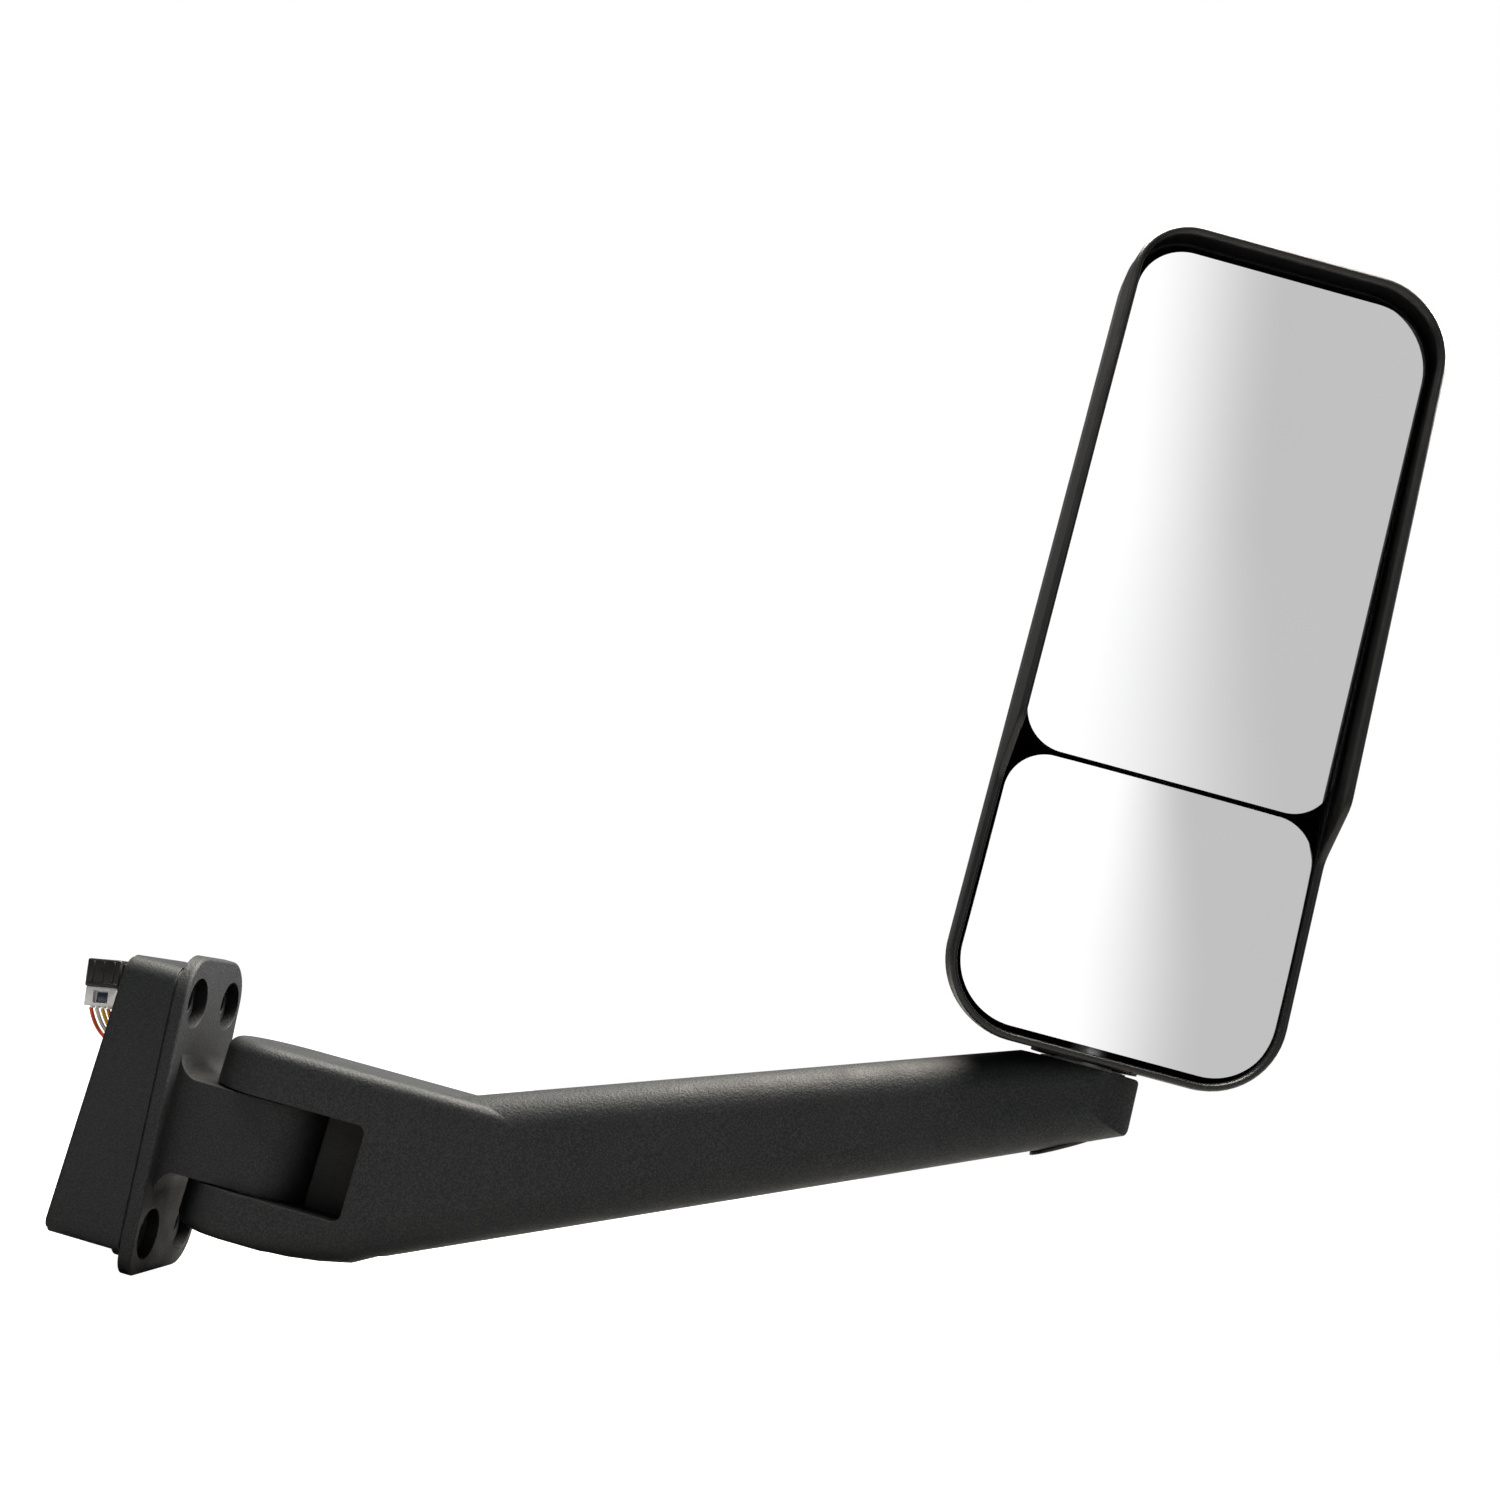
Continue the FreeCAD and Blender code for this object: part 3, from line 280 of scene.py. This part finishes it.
for wireName, tone in wireTones.items():
    finishes[wireName] = grainyFinish("insulation_" + wireName, dict(
        rubberLook, dark=tuple(0.88 * part for part in tone), light=tone,
        dust=tuple(0.6 * part for part in tone), rough=0.4, shine=0.45, bump=0.12, grain=2400.0,
        depth=0.00004, drift=70.0, wear=0.0, edge=0.0002))
shellFinish = grainyFinish("grainedShell", shellLook)
windowFinish = grainyFinish("smokedWindow", dict(
    satinLook, dark=(0.012, 0.016, 0.03), light=(0.03, 0.045, 0.085), drift=220.0, rough=0.16, shine=0.7,
    bump=0.03))
print("finishes made:", len(finishes) + 2)


# helpers for modelling in millimetres
def mm(x, y, z):
    return Vector((x, y, z)) / 1000.0


def newPiece(name, bm, body, slotName, finish, *replaced):
    bmesh.ops.recalc_face_normals(bm, faces=bm.faces)
    for face in bm.faces:
        face.smooth = True
    for edge in bm.edges:
        edge.smooth = len(edge.link_faces) == 2 and edge.calc_face_angle(0.0) < math.radians(38)
    mesh = bpy.data.meshes.new(name)
    bm.to_mesh(mesh)
    bm.free()
    mesh.materials.append(finish)
    piece = bpy.data.objects.new(name, mesh)
    studio.collection.objects.link(piece)
    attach(piece, body)
    if replaced:
        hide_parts(*replaced)
    return piece


def addBlock(bm, low, high, edgeWidth=0.3, segments=2):
    # a block with softened edges, in millimetres
    low, high = Vector(low), Vector(high)
    made = bmesh.ops.create_cube(bm, size=1.0)["verts"]
    bmesh.ops.scale(bm, vec=high - low, verts=made)
    bmesh.ops.translate(bm, vec=(low + high) / 2, verts=made)
    if edgeWidth > 0:
        edges = list({edge for vert in made for edge in vert.link_edges})
        made = bmesh.ops.bevel(bm, geom=edges, offset=edgeWidth, offset_type="OFFSET", segments=segments,
                               profile=0.5, affect="EDGES", material=-1)["verts"]
    return made


def latheAround(bm, profile, axisPoint, axis, steps=64):
    # profile is (radius, distance along the axis), in millimetres
    axis = Vector(axis).normalized()
    out = axis.orthogonal().normalized()
    points = [bm.verts.new(Vector(axisPoint) + out * radius + axis * along) for radius, along in profile]
    edges = [bm.edges.new(pair) for pair in zip(points, points[1:])]
    bmesh.ops.spin(bm, geom=points + edges, cent=axisPoint, axis=axis, angle=math.tau, steps=steps,
                   use_merge=True)
    bmesh.ops.remove_doubles(bm, verts=bm.verts, dist=0.001)


def toMetres(bm):
    bmesh.ops.scale(bm, vec=(0.001, 0.001, 0.001), verts=bm.verts)


# wires
wires = {
    "diameter": 0.0022,
    "tone": list(wireTones),
    "length": {"wire_red": 0.0719, "wire_white": 0.0672, "wire_yellow": 0.0689, "wire_amber": 0.0640,
               "wire_black": 0.0661},
    # from the grommet to the connector
    "route": {
        "wire_red": [(26, -5.6, -3), (3, -9, 17), (-8.5, -12.8, 29), (-20.5, -12.4, 36.5),
                     (-26.1, -10, 44.9)],
        "wire_white": [(26, -2.8, 1), (5, -7, 18.5), (-6.5, -11, 30.5), (-17.5, -11, 37.5),
                       (-22.8, -10, 45.5)],
        "wire_yellow": [(26, 0, -4), (6.5, -4, 18), (-5, -8.8, 31.5), (-15, -9.4, 38.5), (-19.4, -10, 46.1)],
        "wire_amber": [(26, 2.8, 1), (7.5, -1, 19), (-4.5, -6.2, 32.5), (-13, -7.4, 39.5),
                       (-16.1, -10, 46.7)],
        "wire_black": [(26, 5.6, -3), (10, 2, 20), (-1.5, -3.8, 33), (-9.6, -5.6, 40.5), (-12.7, -10, 47.3)],
    },
}

for wireName in wires["tone"]:
    route = wires["route"][wireName]
    line = bpy.data.curves.new(wireName + "_lead", "CURVE")
    line.dimensions = "3D"
    line.bevel_depth = wires["diameter"] / 2
    line.bevel_resolution = 6
    line.resolution_u = 16
    line.use_fill_caps = True
    run = line.splines.new("NURBS")
    run.points.add(len(route) - 1)
    for point, place in zip(run.points, route):
        point.co = (*mm(*place), 1.0)
    run.order_u = 3
    run.use_endpoint_u = True
    line.materials.append(finishes[wireName])
    lead = bpy.data.objects.new(wireName + "_lead", line)
    studio.collection.objects.link(lead)
    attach(lead, "base")
    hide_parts(wireName)


# connector on the back of the base
connector = {"middle": (-21.0, -10.0, 60.0), "tilt": -10.0, "ribs": (-6.0, 0.0, 6.0), "pitch": 3.4,
             "windowHalf": 4.6, "windowLow": -11.4, "windowHigh": -3.9, "windowDepth": 3.4}
connectorPlace = (Matrix.Translation(connector["middle"])
                  @ Matrix.Rotation(math.radians(connector["tilt"]), 4, "Y"))


def placeConnector(bm):
    bmesh.ops.transform(bm, matrix=connectorPlace, verts=bm.verts)
    toMetres(bm)


bm = bmesh.new()
addBlock(bm, (-10, -8, -2), (10, 8, 14), 1.1, 3)
for x in connector["ribs"]:
    addBlock(bm, (x - 0.6, -8.6, 1), (x + 0.6, -7.6, 12.6), 0.4)
addBlock(bm, (-8.6, -8.6, -1.2), (8.6, -7.4, 0.4), 0.4)
addBlock(bm, (-4.5, 7.2, 2), (4.5, 7.95, 12), 0.3)
placeConnector(bm)
housing = newPiece("connectorBody", bm, "base", "plastic_satin", finishes["plastic_satin"],
                   "connector_housing")

bm = bmesh.new()
addBlock(bm, (-9.2, -7.2, -13), (9.2, 7.2, -2), 0.0)
windowCuts = (((connector["windowHalf"], 0, 0), (1, 0, 0)), ((-connector["windowHalf"], 0, 0), (1, 0, 0)),
              ((0, 0, connector["windowLow"]), (0, 0, 1)), ((0, 0, connector["windowHigh"]), (0, 0, 1)))
for point, normal in windowCuts:
    bmesh.ops.bisect_plane(bm, geom=bm.verts[:] + bm.edges[:] + bm.faces[:], plane_co=point,
                           plane_no=normal)
bm.faces.ensure_lookup_table()
pane = min((face for face in bm.faces if face.normal.y < -0.9),
           key=lambda face: (face.calc_center_median() - Vector((0, -7.2, -7.75))).length)
bmesh.ops.inset_individual(bm, faces=[pane], thickness=0.35, depth=-0.2)
bottom = bmesh.ops.extrude_discrete_faces(bm, faces=[pane])["faces"][0]
bmesh.ops.translate(bm, vec=(0, connector["windowDepth"], 0), verts=bottom.verts)
outer = [edge for edge in bm.edges if edge.is_manifold and edge.calc_face_angle(0.0) > 1.2
         and all(abs(abs(vert.co.x) - 9.2) < 0.01 or abs(vert.co.z + 7.5) > 5.4 for vert in edge.verts)]
bmesh.ops.bevel(bm, geom=outer, offset=0.45, offset_type="OFFSET", segments=2, profile=0.5, affect="EDGES",
                material=-1)
for wire in range(5):
    x = (wire - 2) * connector["pitch"]
    mouth = bmesh.ops.create_cone(bm, cap_ends=True, segments=20, radius1=1.25, radius2=1.6, depth=1.2)
    bmesh.ops.translate(bm, vec=(x, 0, -13.5), verts=mouth["verts"])
placeConnector(bm)
lock = newPiece("connectorLock", bm, "base", "plastic_white", finishes["plastic_white"], "connector_lock")

bm = bmesh.new()
addBlock(bm, (-3.1, -4.6, -10.5), (3.1, -3.9, -5.0), 0.25)
placeConnector(bm)
newPiece("connectorWindow", bm, "base", "plastic_satin", windowFinish)

bm = bmesh.new()
addBlock(bm, (10.0, -5, 1), (11.6, 5, 12), 0.4)
bmesh.ops.transform(bm, matrix=connectorPlace, verts=bm.verts)
addBlock(bm, (-10.3, -13, 63), (0.8, -7, 67), 0.5)
addBlock(bm, (0.0, -15, 60), (2.0, -5, 68), 0.5)
bmesh.ops.create_cone(bm, cap_ends=True, segments=24, radius1=1.5, radius2=1.5, depth=10.0,
                      matrix=Matrix.Translation((5, -10, 64)) @ Matrix.Rotation(math.radians(90), 4, "Y"))
toMetres(bm)
newPiece("connectorClip", bm, "base", "plastic_satin", finishes["plastic_satin"], "connector_clip")
print("connector built")


# grommet, hinge cap and swivel lid
bm = bmesh.new()
latheAround(bm, [(0.0, 0.0), (7.6, 0.0), (8.6, 0.5), (11.4, 2.2), (12.0, 3.0), (12.0, 4.0), (6.0, 4.0),
                 (5.9, 8.2), (5.3, 9.0), (0.0, 9.0)], (26, 0, -2), (1, 0, 0))
toMetres(bm)
newPiece("wireSeal", bm, "base", "rubber_black", finishes["rubber_black"], "harness_grommet")

hingeCap = {"place": (96, 0, -55.5), "steps": 96}
bm = bmesh.new()
latheAround(bm, [(0.0, 0.35), (6.5, 0.35), (7.2, 0.0), (16.2, 0.0), (16.8, 0.25), (17.0, 0.8), (17.0, 4.3),
                 (15.4, 4.3), (15.4, 3.0), (0.0, 3.0)], hingeCap["place"], (0, 0, 1), hingeCap["steps"])
toMetres(bm)
newPiece("hingePlug", bm, "arm", "plastic_satin", finishes["plastic_satin"], "hinge_cap")

lid = {"centre": 532.0, "low": 102.0, "lowAt": 513.0, "rise": 18.0 / 32.0, "thick": 2.5}
bm = bmesh.new()
latheAround(bm, [(0.0, 0.5), (5.2, 0.5), (5.7, 0.0), (16.8, 0.0), (17.25, 0.2), (17.4, 0.7), (17.4, 2.0),
                 (16.0, 2.5), (0.0, 2.5)], (lid["centre"], 0, 0), (0, 0, 1), 96)
for vert in bm.verts:
    vert.co.z += lid["low"] + (vert.co.x - lid["lowAt"]) * lid["rise"]
for x, y in ((520.5, 0), (543.5, 0), (532, -11.5), (532, 11.5)):
    top = lid["low"] + (x - lid["lowAt"]) * lid["rise"] + lid["thick"]
    addBlock(bm, (x - 2.4, y - 2.4, top - 0.8), (x + 2.4, y + 2.4, top + 2.2), 0.3)
toMetres(bm)
newPiece("swivelLid", bm, "arm", "plastic_satin", finishes["plastic_satin"], "swivel_cover")
print("caps and seals turned")


# rim of the mirror head
head = {"turn": 7.0, "pivot": 532.0, "pivotDepth": 60.0, "low": 160.5, "high": 635.5,
        "left": -94.3, "leftLean": 0.0165, "right": 96.0, "rightLean": 0.009}
rim = {"corners": (44.0, 44.0, 46.0, 33.0), "parting": 31.0, "lowFront": 22.0, "stepLow": 300.0,
       "stepHigh": 330.0, "topFront": 8.0, "soften": 4.5}
headPlace = (Matrix.Translation((head["pivot"], 0, 0)) @ Matrix.Rotation(math.radians(head["turn"]), 4, "Z")
             @ Matrix.Translation((0, -head["pivotDepth"], 0)))


def leftEdge(z):
    return head["left"] + (z - head["low"]) * head["leftLean"]


def rightEdge(z):
    return head["right"] + (z - head["low"]) * head["rightLean"]


def plainFront(z):
    if z < rim["stepLow"]:
        return rim["lowFront"]
    if z < rim["stepHigh"]:
        return rim["lowFront"] * (rim["stepHigh"] - z) / (rim["stepHigh"] - rim["stepLow"])
    return rim["topFront"] * (z - rim["stepHigh"]) / (head["high"] - rim["stepHigh"])


def softFront(z):
    steps = [-1 + (index + 0.5) / 6 for index in range(12)]
    return sum(plainFront(z + rim["soften"] * step) for step in steps) / len(steps)


def headLoop(bm, inset, radii, placeDepth):
    # one rounded outline of the head, returned as its edges
    low, high = head["low"] + inset, head["high"] - inset
    places = [(leftEdge(low) + inset, low), (rightEdge(low) - inset, low), (rightEdge(high) - inset, high),
              (leftEdge(high) + inset, high)]
    before = set(bm.edges)
    corners = [bm.verts.new((a, 0.0, z)) for a, z in places]
    bm.faces.new(corners)
    for corner, radius in zip(corners, radii):
        bmesh.ops.bevel(bm, geom=[corner], offset=max(radius, 0.5), offset_type="OFFSET", segments=14,
                        profile=0.5, affect="VERTICES", material=-1)
    loop = [edge for edge in bm.edges if edge not in before]
    bmesh.ops.delete(bm, geom=list({face for edge in loop for face in edge.link_faces}), context="FACES_ONLY")
    tall = [edge for edge in loop if abs(edge.verts[0].co.z - edge.verts[1].co.z) > 150]
    wide = [edge for edge in loop if abs(edge.verts[0].co.x - edge.verts[1].co.x) > 60]
    bmesh.ops.subdivide_edges(bm, edges=tall, cuts=118)
    bmesh.ops.subdivide_edges(bm, edges=wide, cuts=24)
    loop = [edge for edge in bm.edges if edge not in before]
    for vert in {vert for edge in loop for vert in edge.verts}:
        vert.co.y = placeDepth(vert.co.z)
    return loop


def fromFront(depth):
    return lambda z: softFront(z) + depth


def fixedDepth(depth):
    return lambda z: depth


beadSection = [(0.35, fixedDepth(rim["parting"])), (0.0, fixedDepth(30.6)), (0.0, fromFront(2.6)),
               (0.1, fromFront(1.8)),
               (0.4, fromFront(1.05)), (0.9, fromFront(0.45)), (1.5, fromFront(0.1)), (2.1, fromFront(0.0)),
               (2.75, fromFront(0.1)), (3.35, fromFront(0.45)), (3.8, fromFront(1.0)), (4.1, fromFront(1.75)),
               (4.2, fromFront(2.6)), (4.2, fromFront(4.7)), (3.95, fromFront(5.0)), (2.5, fromFront(5.0)),
               (2.4, fromFront(5.1)), (2.4, fixedDepth(rim["parting"]))]
bm = bmesh.new()
loops = [headLoop(bm, inset, [corner - inset for corner in rim["corners"]], depth)
         for inset, depth in beadSection]
for first, second in zip(loops, loops[1:] + loops[:1]):
    bmesh.ops.bridge_loops(bm, edges=first + second)
bmesh.ops.transform(bm, matrix=headPlace, verts=bm.verts)
toMetres(bm)
rimPiece = newPiece("rimBezel", bm, "head", "plastic_satin", finishes["plastic_satin"], "head_bezel")
print("rim bezel built:", len(rimPiece.data.polygons), "faces")


# finish every CAD node that stays
ownFinish = {"head_shell": shellFinish}
for nodeName, node in nodes.items():
    for place in node.material_slots:
        slotName = place.material.name.split(".")[0]
        place.material = ownFinish.get(nodeName, finishes.get(slotName, finishes["plastic_black"]))
print("carried-over nodes finished")


# floor, room and lamps
floorLook = {"radius": 2.6, "drop": 0.0005, "glow": 1.0, "tone": (0.22, 0.22, 0.22), "rough": 0.9,
             "shine": 0.1}
bm = bmesh.new()
bmesh.ops.create_circle(bm, cap_ends=True, segments=96, radius=floorLook["radius"])
middle = (Vector(cadBox[0]) + Vector(cadBox[1])) / 2
bmesh.ops.translate(bm, vec=(middle.x, middle.y, cadBox[0][2] - floorLook["drop"]), verts=bm.verts)
floorMesh = bpy.data.meshes.new("paleFloor")
bm.to_mesh(floorMesh)
bm.free()
floor = bpy.data.objects.new("paleFloor", floorMesh)
studio.collection.objects.link(floor)
floorFinish, tree, surface, _ = startFinish("palePaper")
surface.inputs["Base Color"].default_value = (*floorLook["tone"], 1.0)
surface.inputs["Roughness"].default_value = floorLook["rough"]
surface.inputs["Specular IOR Level"].default_value = floorLook["shine"]
surface.inputs["Emission Color"].default_value = (1.0, 1.0, 1.0, 1.0)
paths = tree.nodes.new("ShaderNodeLightPath")
glow = calc(tree, "MULTIPLY", paths.outputs["Is Camera Ray"], floorLook["glow"])
tree.links.new(glow, surface.inputs["Emission Strength"])
floorMesh.materials.append(floorFinish)

# the room round the part: white, turning to light grey on the side that both glasses face
room = {"white": 1.08, "grey": 0.555, "dim": 0.1, "centre": 22.3, "slope": -0.136,
        "upperHalf": 2.65, "lowerHalf": 5.2, "changeLow": 4.0, "changeHigh": 19.0,
        "screenAcross": (6, 46), "screenUp": (-9, 31)}
world = bpy.data.worlds.new("studioRoom")
studio.world = world
world.use_nodes = True
tree = world.node_tree
tree.nodes.clear()
across = tree.nodes.new("ShaderNodeSeparateXYZ")
tree.links.new(tree.nodes.new("ShaderNodeTexCoord").outputs["Generated"], across.inputs[0])
azimuth = calc(tree, "ARCTAN2", across.outputs["X"], calc(tree, "MULTIPLY", across.outputs["Y"], -1.0))
height = calc(tree, "ARCSINE", across.outputs["Z"], 0.0)
half = spread(tree, height, math.radians(room["changeLow"]), math.radians(room["changeHigh"]),
              math.radians(room["lowerHalf"]), math.radians(room["upperHalf"]))
centre = calc(tree, "ADD", calc(tree, "MULTIPLY", height, room["slope"]), math.radians(room["centre"]))
offset = calc(tree, "DIVIDE", calc(tree, "SUBTRACT", azimuth, centre), half)
fade = tree.nodes.new("ShaderNodeMapRange")
fade.interpolation_type = "SMOOTHSTEP"
fade.inputs["From Min"].default_value = -1.0
fade.inputs["From Max"].default_value = 1.0
fade.inputs["To Min"].default_value = room["white"]
fade.inputs["To Max"].default_value = room["grey"]
tree.links.new(offset, fade.inputs["Value"])
window = 1.0
for value, low, high in ((azimuth, room["screenAcross"][0], 1), (azimuth, room["screenAcross"][1], -1),
                         (height, room["screenUp"][0], 1), (height, room["screenUp"][1], -1)):
    side = spread(tree, value, math.radians(low - 6 * high), math.radians(low), 0.0, 1.0)
    window = calc(tree, "MULTIPLY", side, window)
shade = tree.nodes.new("ShaderNodeMix")
tree.links.new(window, shade.inputs["Factor"])
tree.links.new(fade.outputs["Result"], shade.inputs["B"])
shade.inputs["A"].default_value = room["dim"]
lit = tree.nodes.new("ShaderNodeBackground")
tree.links.new(shade.outputs["Result"], lit.inputs["Strength"])
plainWhite = tree.nodes.new("ShaderNodeBackground")
plainWhite.inputs["Strength"].default_value = 1.0
plainWhite.inputs["Color"].default_value = (1.0, 1.0, 1.0, 1.0)
lit.inputs["Color"].default_value = (1.0, 1.0, 1.0, 1.0)
seen = tree.nodes.new("ShaderNodeMixShader")
tree.links.new(tree.nodes.new("ShaderNodeLightPath").outputs["Is Camera Ray"], seen.inputs["Fac"])
tree.links.new(lit.outputs["Background"], seen.inputs[1])
tree.links.new(plainWhite.outputs["Background"], seen.inputs[2])
tree.links.new(seen.outputs["Shader"], tree.nodes.new("ShaderNodeOutputWorld").inputs["Surface"])

lamps = {
    "overheadSoftbox": {"place": (0.15, 0.1, 1.75), "aim": (0.2, 0.0, 0.0), "size": 1.2, "power": 150.0,
                        "tone": (1.0, 0.92, 0.83)},
    "leftSoftbox": {"place": (-1.3, -1.0, 1.1), "aim": (0.2, 0.0, 0.1), "size": 1.0, "power": 1.5,
                    "tone": (0.97, 0.98, 1.0)},
    "rightSoftbox": {"place": (1.9, 0.75, 1.9), "aim": (0.3, 0.0, 0.3), "size": 0.8, "power": 185.0,
                     "tone": (1.0, 0.95, 0.89)},
}
for lampName, setup in lamps.items():
    light = bpy.data.lights.new(lampName, "AREA")
    light.size = setup["size"]
    light.energy = setup["power"]
    light.color = setup["tone"]
    lamp = bpy.data.objects.new(lampName, light)
    studio.collection.objects.link(lamp)
    toAim = Vector(setup["aim"]) - Vector(setup["place"])
    facing = toAim.to_track_quat("-Z", "Y").to_matrix().to_4x4()
    lamp.matrix_world = Matrix.Translation(setup["place"]) @ facing
print("studio lit")
